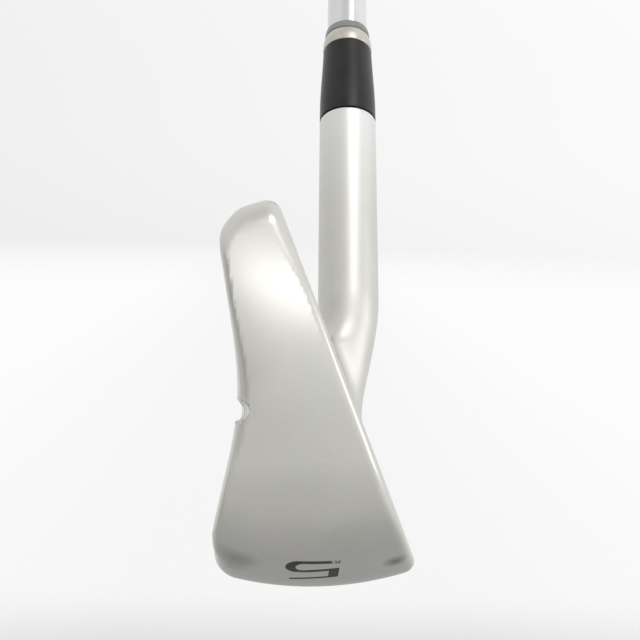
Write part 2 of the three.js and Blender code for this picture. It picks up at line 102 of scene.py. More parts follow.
SCORE = dict(count=12, pitch=3.6, first=7.2, width=0.9, depth=0.45, heel_x=8, toe_x=60, margin=4.5)
SCORE_END = dict(beyond=0.2, run_in=0.3, lift=0.3)
NUMBER = dict(x=69.8, y=-9.6, left=-3.1, right=3.42, foot=-2.4, base_bar=0.74, bar=0.6, stem=1.22, rise=0.16)
NUMBER_BOWL = dict(outer=1.57, inner=0.87, top_bar=3.1, top_end=2.85, neck=1.2)
NUMBER_FILL = dict(depth=0.6, sunk=0.08, inset=0.02, reach=4.6, lines=93)

GRID = 0.45
SETTLE_STEPS = 4
BISECTIONS = 40
BOX_MARGIN = 1.5
SKIN_TOLERANCE = 0.05
CUTTER_HEADROOM = 3


def to_row(points):
    """Club millimetres to the row's frame in metres."""
    return (np.asarray(points, float) - ORIGIN) * MM


def to_club(points):
    """The row's frame in metres to club millimetres."""
    return np.array(points) / MM + ORIGIN


# ---- rounding helpers ----------------------------------------------------------------------------
def smoothstep(value, start, end):
    t = np.clip((value - start) / (end - start), 0, 1)
    return t * t * (3 - 2 * t)


def round_max(a, b, radius):
    u = np.maximum(a + radius, 0)
    v = np.maximum(b + radius, 0)
    return np.hypot(u, v) + np.minimum(np.maximum(a, b) + radius, 0) - radius


def smooth_min(a, b, reach):
    h = np.maximum(reach - np.abs(a - b), 0) / reach
    return np.minimum(a, b) - h * h * reach / 4


def through(stops, value):
    """A smooth curve through [place, size] stops."""
    size = stops[0][1]
    for (start, before), (end, after) in zip(stops, stops[1:]):
        size = size + (after - before) * smoothstep(value, start, end)
    return size


# ---- the head as a field: negative inside, zero on the surface -------------------------------------
def back_y(x, z):
    flare = np.where(z > WAIST_Z, BACK_FLARE_UP, BACK_FLARE_DOWN)
    waist = FACE_Y - BACK_AT_HEEL - BACK_SPREAD * x
    return waist - flare * (np.hypot(z - WAIST_Z, WAIST_SOFT) - WAIST_SOFT)


def sole_z(x, y):
    mid_sole = (FACE_Y - 3 + back_y(x, 0)) / 2
    return (x - SOLE_CENTRE_X) ** 2 / (2 * SOLE_LONG_RADIUS) + (y - mid_sole) ** 2 / (2 * SOLE_CROSS_RADIUS)


def face_field(y, z):
    return (y - FACE_Y) * math.cos(LOFT) + z * math.sin(LOFT)


def blade_field(x, y, z):
    up = (FACE_Y - y) * math.sin(LOFT) + z * math.cos(LOFT)
    topline = (up - TOP_AT_HEEL - TOP_SLOPE * x) / math.hypot(1, TOP_SLOPE)
    mid_toe = (FACE_Y - z * math.tan(LOFT) + back_y(TOE_X, z)) / 2
    toe = np.hypot(x - TOE_X + TOE_RADIUS, z - TOE_Z) - TOE_RADIUS + (y - mid_toe) ** 2 / (2 * TOE_CROWN)
    heel = -x * math.sin(LIE) - z * math.cos(LIE) - HEEL_EDGE
    no_heel = round_max(round_max(topline, toe, TOP_TOE_ROUND), sole_z(x, y) - z, TOE_SOLE_ROUND)
    rim = round_max(no_heel, heel, HEEL_ROUND)
    back = back_y(x, z) - y
    trailing = (rim + back + through(TRAILING_BEVEL, z)) / math.sqrt(2)
    beveled = round_max(back, trailing, through(BACK_EDGE, z))
    with_back = round_max(rim, beveled, through(BACK_EDGE, z))
    return round_max(with_back, face_field(y, z), through(FACE_EDGE, z))


def hosel_field(x, y, z):
    station = x * SHAFT_DIR[0] + z * SHAFT_DIR[2]
    across = np.hypot(x * math.sin(LIE) + z * math.cos(LIE), y)
    beyond_foot = np.maximum(HOSEL_FOOT - station, 0)
    side = np.hypot(across, beyond_foot) - through(HOSEL_GROWTH, station)
    return round_max(side, station - HOSEL_TOP, HOSEL_RIM_ROUND)


def outer_field(x, y, z):
    reach = through(HOSEL_BLEND, x * SHAFT_DIR[0] + z * SHAFT_DIR[2])
    return smooth_min(blade_field(x, y, z), hosel_field(x, y, z), reach)


def outline_field(corners, x, z, radius):
    """A convex outline in the X-Z plane, given anticlockwise, with rounded corners."""
    field = None
    for (x0, z0), (x1, z1) in zip(corners, corners[1:] + corners[:1]):
        length = math.hypot(x1 - x0, z1 - z0)
        edge = ((x - x0) * (z1 - z0) - (z - z0) * (x1 - x0)) / length
        field = edge if field is None else round_max(field, edge, radius)
    return field


def cavity_field(x, y, z):
    behind_floor = face_field(y, z) + CAVITY_WALL
    opening = round_max(outline_field(CAVITY_CORNERS, x, z, CAVITY_ROUND), behind_floor, CAVITY_FLOOR_ROUND)
    wall_y = back_y(MID_X, WAIST_Z) + POCKET_WALL - BACK_SPREAD * (x - MID_X) + POCKET_LEAN * (z - WAIST_Z)
    wall = (wall_y - y) / math.sqrt(1 + BACK_SPREAD ** 2 + POCKET_LEAN ** 2)
    pocket = round_max(outline_field(POCKET_CORNERS, x, z, CAVITY_ROUND), behind_floor, CAVITY_FLOOR_ROUND)
    return smooth_min(opening, round_max(pocket, wall, CAVITY_FLOOR_ROUND), CAVITY_LIP)


def scoop_field(x, y, z):
    """A short round scoop in the back edge, deepest where it leaves through the toe."""
    along = np.array([1, SCOOP["inward"], SCOOP["slope"]])
    along = along / np.linalg.norm(along)
    centre_y = back_y(SCOOP["x"], WAIST_Z) - SCOOP["radius"] + SCOOP["depth"]
    d = [x - SCOOP["x"], y - centre_y, z - SCOOP["z"]]
    run = sum(a * b for a, b in zip(d, along))
    return np.sqrt(np.maximum(sum(a * a for a in d) - run * run, 0)) - SCOOP["radius"]


def bore_field(x, y, z):
    station = x * SHAFT_DIR[0] + z * SHAFT_DIR[2]
    across = np.hypot(x * math.sin(LIE) + z * math.cos(LIE), y)
    return np.maximum(across - BORE_RADIUS, HOSEL_TOP - BORE_DEPTH - station)


def head_field(x, y, z):
    field = round_max(outer_field(x, y, z), -scoop_field(x, y, z), SCOOP["lip"])
    field = round_max(field, -cavity_field(x, y, z), CAVITY_LIP)
    return np.maximum(field, -bore_field(x, y, z))


def gradient(field, points, step=0.02):
    columns = []
    for axis in range(3):
        shift = np.zeros(3)
        shift[axis] = step
        columns.append((field(*(points + shift).T) - field(*(points - shift).T)) / (2 * step))
    return np.stack(columns, 1)


# ---- surface nets: one vertex in each cell that the surface crosses, one quad per crossed edge -----
def cell_vertices(values, low, spacing):
    total = np.zeros(tuple(n - 1 for n in values.shape) + (3,), np.float32)
    count = np.zeros(total.shape[:3], np.float32)
    for axis in range(3):
        others = [a for a in range(3) if a != axis]
        for offsets in itertools.product((0, 1), repeat=2):
            near = [0, 0, 0]
            near[others[0]], near[others[1]] = offsets
            far = list(near)
            far[axis] = 1
            a, b = (values[tuple(slice(o, o + n - 1) for o, n in zip(c, values.shape))] for c in (near, far))
            crossed = (a < 0) != (b < 0)
            where = np.where(crossed, a / np.where(crossed, a - b, 1), 0)
            count += crossed
            for k in range(3):
                total[..., k] += where if k == axis else crossed * near[k]
    active = count > 0
    number = np.full(active.shape, -1)
    number[active] = np.arange(active.sum())
    return low + spacing * (np.argwhere(active) + total[active] / count[active][:, None]), number


def edge_quads(values, number):
    inside = values < 0
    quads = []
    for axis, (first, second) in enumerate(((1, 2), (2, 0), (0, 1))):
        here, there = [slice(1, -1)] * 3, [slice(1, -1)] * 3
        here[axis], there[axis] = slice(0, -1), slice(1, None)
        a, b = inside[tuple(here)], inside[tuple(there)]
        crossed = a != b
        base = np.argwhere(crossed)
        base[:, first] += 1
        base[:, second] += 1
        corners = []
        for back in ((1, 1), (0, 1), (0, 0), (1, 0)):
            cell = base.copy()
            cell[:, first] -= back[0]
            cell[:, second] -= back[1]
            corners.append(number[tuple(cell.T)])
        quad = np.stack(corners, 1)
        flipped = ~a[crossed]
        quad[flipped] = quad[flipped][:, ::-1]
        quads.append(quad)
    return np.concatenate(quads)


def mesh_of_field(field, low, high, spacing):
    counts = np.ceil((np.array(high) - low) / spacing).astype(int) + 1
    axes = [low[k] + spacing * np.arange(counts[k]) for k in range(3)]
    x, y, z = np.meshgrid(*axes, indexing="ij", sparse=True)
    values = field(x, y, z)
    points, number = cell_vertices(values, np.array(low, float), spacing)
    quads = edge_quads(values, number)
    for _ in range(SETTLE_STEPS):
        slope = gradient(field, points)
        squared = np.maximum((slope ** 2).sum(1), 0.05)
        move = -(field(*points.T) / squared)[:, None] * slope
        limit = 0.6 * spacing / np.maximum(np.linalg.norm(move, axis=1), 1e-9)
        points = points + move * np.minimum(limit, 1)[:, None]
    return points, quads


# ---- object helpers --------------------------------------------------------------------------------
def make_object(name, points, faces, smooth=True):
    mesh = bpy.data.meshes.new(name)
    mesh.from_pydata([tuple(p) for p in points], [], [tuple(int(i) for i in f) for f in faces])
    mesh.validate()
    if smooth:
        mesh.shade_smooth()
    piece = bpy.data.objects.new(name, mesh)
    bpy.context.collection.objects.link(piece)
    return piece


def adopt(piece, nodes, material):
    """A new piece rides on the club, stands for CAD nodes and takes its finish."""
    piece.data.materials.clear()
    piece.data.materials.append(material)
    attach(piece, "root")
    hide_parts(*nodes)
    return piece


def boolean(piece, cutter, operation):
    step = piece.modifiers.new("cut", "BOOLEAN")
    step.operation = operation
    step.solver = "MANIFOLD"
    step.object = cutter
    bpy.context.view_layer.update()
    evaluated = piece.evaluated_get(bpy.context.evaluated_depsgraph_get())
    result = bpy.data.meshes.new_from_object(evaluated)
    piece.modifiers.clear()
    piece.data = result
    bpy.data.objects.remove(cutter)
    return piece


def prism(outline, bottom, top, place):
    """An outline in a local X-Y plane, run along local Z, then put in place by a function."""
    lower = [place(x, y, bottom) for x, y in outline]
    upper = [place(x, y, top) for x, y in outline]
    n = len(outline)
    faces = [list(range(n))[::-1], list(range(n, 2 * n))]
    faces += [[i, (i + 1) % n, n + (i + 1) % n, n + i] for i in range(n)]
    return lower + upper, faces


# ---- materials -------------------------------------------------------------------------------------
class Nodes:
    """A small hand for building a node tree."""

    def __init__(self, name=None, tree=None):
        if name:
            self.material = bpy.data.materials.new(name)
            self.material.use_nodes = True
            tree = self.material.node_tree
            self.shader = tree.nodes["Principled BSDF"]
        self.tree = tree
        coordinates = self.add("ShaderNodeTexCoord")
        self.place, self.around = coordinates.outputs["Object"], coordinates.outputs["Generated"]

    def add(self, kind, **inputs):
        node = self.tree.nodes.new(kind)
        for key, value in inputs.items():
            self.put(node.inputs[key.replace("_", " ")], value)
        return node

    def put(self, socket, value):
        if isinstance(value, bpy.types.NodeSocket):
            self.tree.links.new(value, socket)
        else:
            socket.default_value = value

    def surface(self, **inputs):
        for key, value in inputs.items():
            self.put(self.shader.inputs[key.replace("_", " ")], value)

    def scaled(self, scale, turn=(0, 0, 0)):
        mapping = self.add("ShaderNodeMapping", Vector=self.place, Scale=scale, Rotation=turn)
        return mapping.outputs["Vector"]

    def noise(self, scale, detail, vector=None):
        node = self.add("ShaderNodeTexNoise", Scale=scale, Detail=detail, Roughness=0.55,
                        Vector=vector or self.place)
        return node.outputs["Fac"]

    def ramp(self, factor, low, high, start, end):
        node = self.add("ShaderNodeMapRange", Value=factor)
        node.inputs["From Min"].default_value = start
        node.inputs["From Max"].default_value = end
        node.inputs["To Min"].default_value = low
        node.inputs["To Max"].default_value = high
        return node.outputs["Result"]

    def between(self, noise, low, high, start=0.3, end=0.7):
        """A number or a colour that goes from low to high as the noise grows."""
        if isinstance(low, tuple):
            return self.mix(self.ramp(noise, 0, 1, start, end), low, high)
        return self.ramp(noise, low, high, start, end)

    def steps(self, value, stops):
        """A smooth grey curve through [value, grey] stops between -1 and 1."""
        node = self.add("ShaderNodeValToRGB", Fac=self.ramp(value, 0, 1, -1, 1))
        node.color_ramp.interpolation = "EASE"
        while len(node.color_ramp.elements) < len(stops):
            node.color_ramp.elements.new(0.5)
        for element, (at, grey) in zip(node.color_ramp.elements, stops):
            element.position = (at + 1) / 2
            element.color = (grey, grey, grey, 1)
        return node.outputs["Color"]

    def mix(self, factor, a, b, blend="MIX"):
        node = self.tree.nodes.new("ShaderNodeMix")
        node.data_type = "RGBA"
        node.blend_type = blend
        self.put(node.inputs[0], factor)
        self.put(node.inputs[6], (*a, 1) if isinstance(a, tuple) else a)
        self.put(node.inputs[7], (*b, 1) if isinstance(b, tuple) else b)
        return node.outputs[2]

    def math(self, operation, *values):
        node = self.tree.nodes.new("ShaderNodeMath")
        node.operation = operation
        for socket, value in zip(node.inputs, values):
            self.put(socket, value)
        return node.outputs[0]

    def distance(self, point):
        node = self.tree.nodes.new("ShaderNodeVectorMath")
        node.operation = "DISTANCE"
        self.put(node.inputs[0], self.place)
        self.put(node.inputs[1], point)
        return node.outputs["Value"]

    def along(self, direction):
        node = self.tree.nodes.new("ShaderNodeVectorMath")
        node.operation = "DOT_PRODUCT"
        self.put(node.inputs[0], self.place)
        self.put(node.inputs[1], tuple(direction))
        return node.outputs["Value"]

    def near(self, point, inner, outer):
        """One inside the inner distance from a point in club millimetres, nought beyond the outer."""
        return self.ramp(self.distance(tuple(to_row(point))), 1, 0, inner * MM, outer * MM)

    def bump(self, height, strength, distance):
        node = self.add("ShaderNodeBump", Height=height, Strength=strength, Distance=distance)
        return node.outputs["Normal"]


# Where the head's finish changes, and where shade is painted on it: places in club millimetres, bands in
# metres of the row's frame
SCOOP_MOUTH = (74, -18.7, 28.75)
# Dark tone of the painted shade round the scoop's rim and in the shade spots
PAINTED_SHADE_TONE = (0.05, 0.05, 0.047)
BRIGHT_HOSEL_Z = (0.030, 0.052)
MATT_HOSEL_X = (-0.045, -0.022)
# Height band where painted shade darkens the sole
SOLE_SHADE_Z = (-0.0195, -0.0125)
BLASTED_HALF_WIDTH = (0.0258, 0.0262)
FACE_SKIN = (-0.0008, -0.0003)
# Band round the scoop's mouth that takes a dark ring of painted shade
SCOOP_RIM = (0.00008, 0.00028)
# Spots of painted shade: dark reflections near the toe's bottom and the shaded lip of the scoop
SHADE_SPOTS = [  # centre, full within, gone beyond, darkness
    ((68.6, 0.3, 9.7), 0.3, 1.8, 0.7),
    ((70.5, -21, 8.5), 1, 4.5, 0.5),
    ((70.4, -17.9, 10), 0.2, 2.4, 0.25),
    ((74.0, -18.6, 29.9), 0.25, 0.6, 0.75),
]


def satin_chrome():
    """Satin blade, brighter hosel, faint clouds, fine pits, painted shade on the sole, round the scoop's rim
    and in dark spots near the toe, and a blasted face.
    """
    m = Nodes("satin_chrome")
    cloud = m.noise(90, 4)
    grain = m.noise(1500, 3)
    pits = m.noise(1700, 2)
    height = m.add("ShaderNodeSeparateXYZ", Vector=m.place).outputs["Z"]
    blade = m.between(cloud, (0.595, 0.588, 0.552), (0.645, 0.637, 0.600), 0.35, 0.68)
    tone = m.mix(m.ramp(height, 0, 1, *BRIGHT_HOSEL_Z), blade, (0.74, 0.738, 0.727))
    tone = m.mix(m.ramp(pits, 0, 0.07, 0.60, 0.85), tone, (0.50, 0.495, 0.47))
    fine = m.math("ADD", m.math("MULTIPLY", grain, 0.1), m.math("MULTIPLY", cloud, 0.9))
    rough = m.between(fine, 0.25, 0.33)
    rough = m.math("ADD", rough, m.ramp(m.along((1, 0, 0)), 0.14, 0, *MATT_HOSEL_X))
    # Painted shade: the tone darkens towards the sole, standing in for the dark reflection of the shade
    # under the head
    tone = m.mix(m.ramp(height, 0.42, 0, *SOLE_SHADE_Z), tone, (0.20, 0.198, 0.19))
    from_mouth = m.distance(tuple(to_row(SCOOP_MOUTH)))
    off_rim = m.math("ABSOLUTE", m.math("SUBTRACT", from_mouth, SCOOP["radius"] * MM))
    # Painted shade: a dark ring round the scoop's rim, where its wall lies in shade
    tone = m.mix(m.ramp(off_rim, 0.95, 0, *SCOOP_RIM), tone, PAINTED_SHADE_TONE)
    # Painted shade: dark spots near the toe's bottom and at the scoop's lip
    for point, inner, outer, darkness in SHADE_SPOTS:
        tone = m.mix(m.math("MULTIPLY", m.near(point, inner, outer), darkness), tone, PAINTED_SHADE_TONE)
    on_face = m.ramp(m.along(FACE_NORMAL), 0, 1, *FACE_SKIN)
    in_zone = m.ramp(m.math("ABSOLUTE", m.along((1, 0, 0))), 1, 0, *BLASTED_HALF_WIDTH)
    blasted = m.math("MULTIPLY", on_face, in_zone)
    tone = m.mix(m.math("MULTIPLY", blasted, 0.35), tone, (0.36, 0.357, 0.35))
    rough = m.math("ADD", rough, m.math("MULTIPLY", blasted, 0.24))
    m.surface(Base_Color=tone, Metallic=1.0, Roughness=rough, Normal=m.bump(grain, 0.02, 0.00002))
    return m.material


PAINT_CHIP = (71.15, -7.1, 10.2)


def number_enamel():
    """Matt black paint, a little worn, with one chip in its lower bar."""
    m = Nodes("number_enamel")
    fleck = m.noise(1500, 3)
    worn = m.ramp(m.noise(420, 4), 0, 1, 0.62, 0.67)
    tone = m.between(fleck, (0.010, 0.010, 0.010), (0.026, 0.026, 0.025))
    chipped = m.math("MULTIPLY", m.near(PAINT_CHIP, 0.35, 0.6), m.ramp(m.noise(2600, 2), 0, 1, 0.38, 0.48))
    tone = m.mix(chipped, m.mix(worn, tone, (0.16, 0.16, 0.155)), (0.50, 0.50, 0.47))
    m.surface(Base_Color=tone, Metallic=chipped, Roughness=m.between(fleck, 0.42, 0.62))
    m.surface(Normal=m.bump(fleck, 0.25, 0.00004))
    return m.material


def ferrule_plastic(name, low, high):
    m = Nodes(name)
    haze = m.noise(160, 4)
    turning = m.noise(900, 2, m.scaled((0.15, 0.15, 1), (0, LIE - math.pi / 2, 0)))
    m.surface(Base_Color=m.between(haze, low, high), Roughness=m.between(haze, 0.30, 0.42))
    m.surface(Specular_IOR_Level=0.36, Normal=m.bump(turning, 0.06, 0.00003))
    return m.material


def trim_silver():
    m = Nodes("trim_silver")
    haze = m.noise(300, 4)
    m.surface(Base_Color=m.between(haze, (0.52, 0.505, 0.44), (0.60, 0.585, 0.52)), Metallic=0.85)
    m.surface(Roughness=m.between(haze, 0.28, 0.38), Normal=m.bump(haze, 0.05, 0.00003))
    return m.material


def polished_steel():
    m = Nodes("polished_steel")
    haze = m.noise(40, 4)
    draw = m.noise(1800, 2, m.scaled((1, 1, 0.02), (0, LIE - math.pi / 2, 0)))
    m.surface(Base_Color=m.between(haze, (0.66, 0.665, 0.67), (0.72, 0.725, 0.73)), Metallic=1.0)
    m.surface(Roughness=m.between(haze, 0.10, 0.16), Normal=m.bump(draw, 0.05, 0.00002))
    return m.material


def rubber(name, low, high, grain_scale):
    m = Nodes(name)
    grain = m.noise(grain_scale, 3)
    dust = m.noise(60, 5)
    m.surface(Base_Color=m.between(dust, low, high, 0.35, 0.7), Roughness=m.between(grain, 0.62, 0.85))
    m.surface(Normal=m.bump(grain, 0.4, 0.00008))
    return m.material


def plain_fill(name, low, high, scale, roughness, metallic=0.0):
    m = Nodes(name)
    cloud = m.noise(scale, 4)
    m.surface(Base_Color=m.between(cloud, low, high), Metallic=metallic)
    m.surface(Roughness=m.between(cloud, roughness - 0.06, roughness + 0.06))
    m.surface(Normal=m.bump(cloud, 0.2, 0.00005))
    return m.material


def badge_finish():
    m = Nodes("badge_finish")
    brush = m.noise(3000, 2, m.scaled((0.03, 1, 1)))
    m.surface(Base_Color=m.between(brush, (0.035, 0.037, 0.04), (0.075, 0.078, 0.082)), Metallic=0.7)
    m.surface(Roughness=m.between(brush, 0.30, 0.46), Normal=m.bump(brush, 0.2, 0.00004))
    return m.material


# ---- head --------------------------------------------------------------------------------------------
def face_point(x, up, out):
    return np.array([x, FACE_Y, 0]) + FACE_UP * up + FACE_NORMAL * out


BAR_FACES = ((0, 1, 2, 3), (7, 6, 5, 4), (0, 4, 5, 1), (1, 5, 6, 2), (2, 6, 7, 3), (3, 7, 4, 0))


def score_cutter():
    """Twelve milled lines: flat floor, sloping walls and tapered ends."""
    points, faces = [], []
    half, floor_half, lift = SCORE["width"] / 2, SCORE["width"] / 4, SCORE_END["lift"]
    spread = half + (half - floor_half) * lift / SCORE["depth"]
    for i in range(SCORE["count"]):
        up = SCORE["first"] + i * SCORE["pitch"]
        heel_x = max(SCORE["heel_x"], (up + SCORE["margin"] - TOP_AT_HEEL) / TOP_SLOPE)
        ends = ((heel_x, 1), (SCORE["toe_x"], -1))
        base = len(points)
        for x, way in ends:
            mouth_x, floor_x = x - way * SCORE_END["beyond"], x + way * SCORE_END["run_in"]
            points += [face_point(mouth_x, up - spread, lift), face_point(mouth_x, up + spread, lift)]
            points += [face_point(floor_x, up + floor_half, -SCORE["depth"])]
            points += [face_point(floor_x, up - floor_half, -SCORE["depth"])]
        faces += [[base + k for k in q] for q in BAR_FACES]
    cutter = make_object("score_cutter", to_row(points), faces, smooth=False)
    outward(cutter)
    return cutter


def outward(piece):
    work = bmesh.new()
    work.from_mesh(piece.data)
    bmesh.ops.recalc_face_normals(work, faces=work.faces)
    work.to_mesh(piece.data)
    work.free()


def curve(start, corner, end, steps=8):
    """A quadratic corner between two points, without its start."""
    fractions = [(i + 1) / steps for i in range(steps)]
    return [tuple((1 - t) ** 2 * a + 2 * t * (1 - t) * b + t * t * c for a, b, c in zip(start, corner, end))
            for t in fractions]


def arc(centre, radius, start, end, steps=20):
    angles = np.radians(np.linspace(start, end, steps + 1))
    return [(centre[0] + radius * math.cos(a), centre[1] + radius * math.sin(a)) for a in angles]


def number_outline(inset):
    """A plain 5 drawn for this part, its bars rising: X to the digit's right, Y to its top."""
    left, foot = NUMBER["left"] + inset, NUMBER["foot"] + inset
    outer, inner = NUMBER_BOWL["outer"], NUMBER_BOWL["inner"]
    bowl = (NUMBER["right"] - outer, NUMBER["foot"] + outer)
    hollow = (NUMBER["right"] - NUMBER["stem"] - inner, NUMBER["foot"] + NUMBER["base_bar"] + inner)
    rise, bar, stem = NUMBER["rise"], NUMBER["bar"] - inset, NUMBER["left"] + NUMBER["stem"] - inset
    neck = bowl[0] - NUMBER_BOWL["neck"]
    middle_edge = lambda x: bowl[1] + outer - inset + rise * (x - neck)
    top_edge = lambda x: NUMBER_BOWL["top_bar"] - inset + rise * x
    end = NUMBER_BOWL["top_end"] - inset
    line = [(end, top_edge(end)), (left, top_edge(left)), (left, middle_edge(left) - bar + inset)]
    line += arc(hollow, inner + inset, 90, -90)
    line += [(left, NUMBER["foot"] + NUMBER["base_bar"] - inset), (left, foot)]
    line += arc(bowl, outer - inset, -90, 90)
    line += [(neck, middle_edge(neck)), (stem, middle_edge(stem))]
    return line + [(stem, top_edge(stem) - bar + inset), (end, top_edge(end) - bar + inset)]


def skin_below(x, y):
    """The sole side of the head's skin under a point, by bisection."""
    low, high = np.full(np.shape(x), -10.0), np.full(np.shape(x), float(TOE_Z))
    for _ in range(BISECTIONS):
        middle = (low + high) / 2
        inside = outer_field(x, y, middle) < 0
        high = np.where(inside, middle, high)
        low = np.where(inside, low, middle)
    return (low + high) / 2


def number_frame():
    at = np.array([NUMBER["x"], NUMBER["y"], float(skin_below(NUMBER["x"], NUMBER["y"]))])
    normal = gradient(outer_field, at[None])[0]
    normal = normal / np.linalg.norm(normal)
    right = np.array([0, -1, 0]) + normal[1] * normal
    right = right / np.linalg.norm(right)
    return at, right, np.cross(normal, right), normal


def head_piece():
    low = to_club(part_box("head_body")[0]) - BOX_MARGIN
    high = to_club(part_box("head_body")[1]) + BOX_MARGIN
    points, quads = mesh_of_field(head_field, low, high, GRID)
    head = make_object("head", to_row(points), quads)
    boolean(head, score_cutter(), "DIFFERENCE")
    at, right, up, normal = number_frame()
    place = lambda x, y, z: at + right * x + up * y + normal * z
    recess, faces = prism(number_outline(0), -NUMBER_FILL["depth"], CUTTER_HEADROOM, place)
    cutter = make_object("number_cutter", to_row(recess), faces, smooth=False)
    outward(cutter)
    boolean(head, cutter, "DIFFERENCE")
    true_normals(head)
    return adopt(head, ["head_body"], satin_chrome())


def true_normals(piece):
    """Shades the skin by the field's own slope and leaves the cut walls flat."""
    mesh = piece.data
    mesh.shade_smooth()
    points = np.empty(len(mesh.vertices) * 3)
    mesh.vertices.foreach_get("co", points)
    points = to_club(points.reshape(-1, 3))
    slope = gradient(head_field, points)
    slope /= np.maximum(np.linalg.norm(slope, axis=1), 1e-9)[:, None]
    face_normals = np.empty(len(mesh.polygons) * 3)
    mesh.polygons.foreach_get("normal", face_normals)
    face_normals = face_normals.reshape(-1, 3)
    corner_vertex = np.empty(len(mesh.loops), int)
    mesh.loops.foreach_get("vertex_index", corner_vertex)
    totals = np.empty(len(mesh.polygons), int)
    mesh.polygons.foreach_get("loop_total", totals)
    corner_face = np.repeat(np.arange(len(totals)), totals)
    centres = np.empty(len(mesh.polygons) * 3)
    mesh.polygons.foreach_get("center", centres)
    centres = to_club(centres.reshape(-1, 3))
    on_skin = np.abs(head_field(*centres.T)) < SKIN_TOLERANCE
    chosen = np.where(on_skin[corner_face][:, None], slope[corner_vertex], face_normals[corner_face])
    mesh.normals_split_custom_set(chosen.tolist())


def enamel_piece():
    """The paint lies just under the skin and follows its curve."""
    at, right, up, normal = number_frame()
    steps = np.linspace(-NUMBER_FILL["reach"], NUMBER_FILL["reach"], NUMBER_FILL["lines"])
    gx, gy = np.meshgrid(steps, steps, indexing="ij")
    base = at + gx[..., None] * right + gy[..., None] * up
    low, high = np.full(gx.shape, -float(CUTTER_HEADROOM)), np.full(gx.shape, float(CUTTER_HEADROOM))
    for _ in range(BISECTIONS):
        middle = (low + high) / 2
        probe = base + middle[..., None] * normal
        inside = outer_field(*np.moveaxis(probe, -1, 0)) < 0
        low = np.where(inside, middle, low)
        high = np.where(inside, high, middle)
    top = base + (low - NUMBER_FILL["sunk"])[..., None] * normal
    bottom = base - (NUMBER_FILL["depth"] - NUMBER_FILL["inset"]) * normal
    n = len(steps)
    points = np.concatenate([top.reshape(-1, 3), bottom.reshape(-1, 3)])
    faces = []
    for i in range(n - 1):
        for j in range(n - 1):
            a = i * n + j
            faces.append((a, a + n, a + n + 1, a + 1))
            faces.append((n * n + a, n * n + a + 1, n * n + a + n + 1, n * n + a + n))
    rim = [i * n for i in range(n)] + [(n - 1) * n + j for j in range(1, n)]
    rim += [i * n + n - 1 for i in range(n - 2, -1, -1)] + [j for j in range(n - 2, 0, -1)]
    faces += [(a, n * n + a, n * n + b, b) for a, b in zip(rim, rim[1:] + rim[:1])]
    block = make_object("number_enamel", to_row(points), faces)
    outward(block)
    place = lambda x, y, z: at + right * x + up * y + normal * z
    narrower = number_outline(NUMBER_FILL["inset"])
    outline, sides = prism(narrower, -CUTTER_HEADROOM, CUTTER_HEADROOM, place)
    cutter = make_object("enamel_cutter", to_row(outline), sides, smooth=False)
    outward(cutter)
    boolean(block, cutter, "INTERSECT")
    block.data.shade_flat()
    return adopt(block, ["sole_number_fill"], number_enamel())


# ---- pieces turned about the shaft axis ----------------------------------------------------------------
def turned_points(profile, around):
    """Rings of [radius, station] pairs round the shaft axis, in club millimetres."""
    angles = np.linspace(0, 2 * math.pi, around, endpoint=False)
    side = np.array([0, 1, 0])
    ring = np.cos(angles)[:, None] * ACROSS_SHAFT + np.sin(angles)[:, None] * side
    profile = np.asarray(profile, float)
    return profile[:, None, :1] * ring[None] + profile[:, None, 1:] * SHAFT_DIR


def turned(name, profile, around=96):
    """A closed profile, anticlockwise, turned about the shaft axis."""
    rings = turned_points(profile, around)
    count = len(profile)
    faces = []
    for i in range(count):
        for j in range(around):
            k, m = (i + 1) % count, (j + 1) % around
            faces.append((i * around + j, i * around + m, k * around + m, k * around + j))
    piece = make_object(name, to_row(rings.reshape(-1, 3)), faces)
    outward(piece)
    crease_normals(piece)
    return piece


def crease_normals(piece, angle=math.radians(32)):
    """Marks the hard corners sharp, so that the rest shades smoothly."""
    work = bmesh.new()
    work.from_mesh(piece.data)
    for edge in work.edges:
        edge.smooth = len(edge.link_faces) != 2 or edge.calc_face_angle(0) < angle
    work.to_mesh(piece.data)
    work.free()


def fillet(points, radius, steps=5):
    """Rounds every corner of a closed [radius, station] profile."""
    out = []
    count = len(points)
    for i, corner in enumerate(points):
        corner = np.array(corner, float)
        before, after = np.array(points[i - 1], float), np.array(points[(i + 1) % count], float)
        to_before, to_after = before - corner, after - corner
        size_b, size_a = np.linalg.norm(to_before), np.linalg.norm(to_after)
        reach = min(radius, 0.45 * size_b, 0.45 * size_a)
        start, end = corner + to_before / size_b * reach, corner + to_after / size_a * reach
        out.append(tuple(start))
        out += curve(tuple(start), tuple(corner), tuple(end), steps)
    return out


FERRULE = dict(bore=4.78, collar=19.3, trim=3.9, ring=2.0, gap=0.1)


